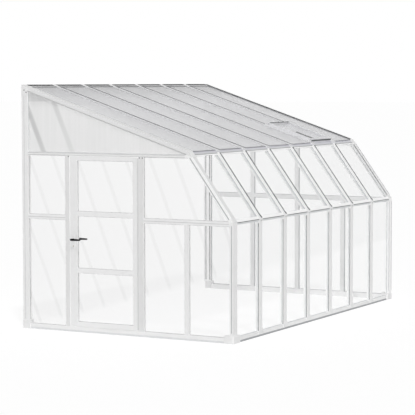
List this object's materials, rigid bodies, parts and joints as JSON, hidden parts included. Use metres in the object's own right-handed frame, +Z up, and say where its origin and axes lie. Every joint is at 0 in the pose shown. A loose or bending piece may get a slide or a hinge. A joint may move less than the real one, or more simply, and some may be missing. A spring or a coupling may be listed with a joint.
{
  "type": "lean-to sunroom",
  "caption": "Lean-to sunroom with white profile frame, clear walls, slanted front, twin-wall roof, side door with lever lock and an opening roof vent.",
  "frame": {"origin": "middle of the overall box's footprint, on the floor", "axes": "+X along the front wall from the door end, +Y from the front wall towards the house, +Z up"},
  "size_m": [4.311, 2.598, 2.66],
  "materials": {
    "frame_white": "satin white profile",
    "clear_pane": "clear acrylic sheet",
    "roof_twin_wall": "grey translucent twin-wall sheet",
    "gable_twin_wall": "pale translucent twin-wall sheet",
    "dark_seal": "dark seal",
    "hinge_grey": "grey extruded hinge",
    "handle_black": "satin black",
    "plate_white": "satin white",
    "stay_dark": "dark painted",
    "steel": "plated steel",
    "key_brass": "machined brass"
  },
  "bodies": {
    "frame": {"front_sill": "frame_white", "side_sills": "frame_white", "front_shoes": "frame_white", "rear_shoes": "frame_white", "rafter_nose_caps": "frame_white", "ridge_end_caps": "frame_white", "left_wall_post": "frame_white", "left_corner_post": "frame_white", "left_slope_rail": "frame_white", "left_end_rafter": "frame_white", "right_wall_post": "frame_white", "right_corner_post": "frame_white", "right_slope_rail": "frame_white", "right_end_rafter": "frame_white", "front_mullions": "frame_white", "mullion_feet": "frame_white", "knee_rail": "frame_white", "knee_covers": "frame_white", "slope_bars": "frame_white", "eave_gutter": "frame_white", "ridge_beam": "frame_white", "roof_bars": "frame_white", "front_panes": "clear_pane", "slope_panes": "clear_pane", "roof_panels": "roof_twin_wall", "roof_gaskets": "dark_seal", "top_rails": "frame_white", "gable_panels": "gable_twin_wall", "hinge_jamb": "frame_white", "left_lower_mullion": "frame_white", "left_mid_rails": "frame_white", "left_wall_panes": "clear_pane", "right_mullions": "frame_white", "right_mid_rails": "frame_white", "right_wall_panes": "clear_pane", "hinge_socket": "hinge_grey", "strike_plate": "steel", "latch_jamb": "frame_white", "vent_curb": "frame_white", "vent_hinge_rod": "steel", "stay_peg": "stay_dark"},
    "door": {"latch_stile": "frame_white", "hinge_stile": "frame_white", "door_rails": "frame_white", "door_panes": "clear_pane", "hinge_bead": "hinge_grey", "lock_case": "steel", "handle_plates": "plate_white", "key_cylinder": "key_brass"},
    "handle": {"outer_lever": "handle_black", "inner_lever": "handle_black", "handle_spindle": "steel"},
    "latch": {"latch_bolt": "steel"},
    "key": {"key_plug": "key_brass"},
    "bolt": {"dead_bolt": "steel"},
    "vent": {"vent_leaf_frame": "frame_white", "vent_panel": "roof_twin_wall", "stay_bracket": "stay_dark"},
    "stay": {"vent_stay": "stay_dark"}
  },
  "joints": [
    {"name": "door_hinge", "type": "hinge", "parent": "frame", "child": "door", "pos_m": [-2.093, -0.158, 0.07], "axis": [0, 0, 1], "range_deg": [0, 100]},
    {"name": "handle_turn", "type": "hinge", "parent": "door", "child": "handle", "pos_m": [-2.0795, 0.643, 1], "axis": [1, 0, 0], "range_deg": [0, 40], "stiffness_Nm_per_rad": 1, "springref_deg": -34.38},
    {"name": "latch_slide", "type": "slide", "parent": "door", "child": "latch", "axis": [0, -1, 0], "range_m": [0, 0.0115]},
    {"name": "key_turn", "type": "hinge", "parent": "door", "child": "key", "pos_m": [-2.0795, 0.643, 0.928], "axis": [1, 0, 0], "range_deg": [0, 90]},
    {"name": "bolt_slide", "type": "slide", "parent": "door", "child": "bolt", "axis": [0, 1, 0], "range_m": [0, 0.014]},
    {"name": "vent_hinge", "type": "hinge", "parent": "frame", "child": "vent", "pos_m": [1.21964, -0.16744, 2.18291], "axis": [-1, 0, 0], "range_deg": [0, 30]},
    {"name": "stay_pivot", "type": "hinge", "parent": "vent", "child": "stay", "pos_m": [1.21964, -0.70707, 1.98661], "axis": [-1, 0, 0], "range_deg": [0, 70]}
  ],
  "couplings": [
    {"joint": "latch_slide", "follows": "handle_turn", "m_per_rad": 0.01647},
    {"joint": "key_turn", "follows": "bolt_slide", "rad_per_m": 112.2},
    {"joint": "stay_pivot", "follows": "vent_hinge", "ratio": 2.332}
  ]
}
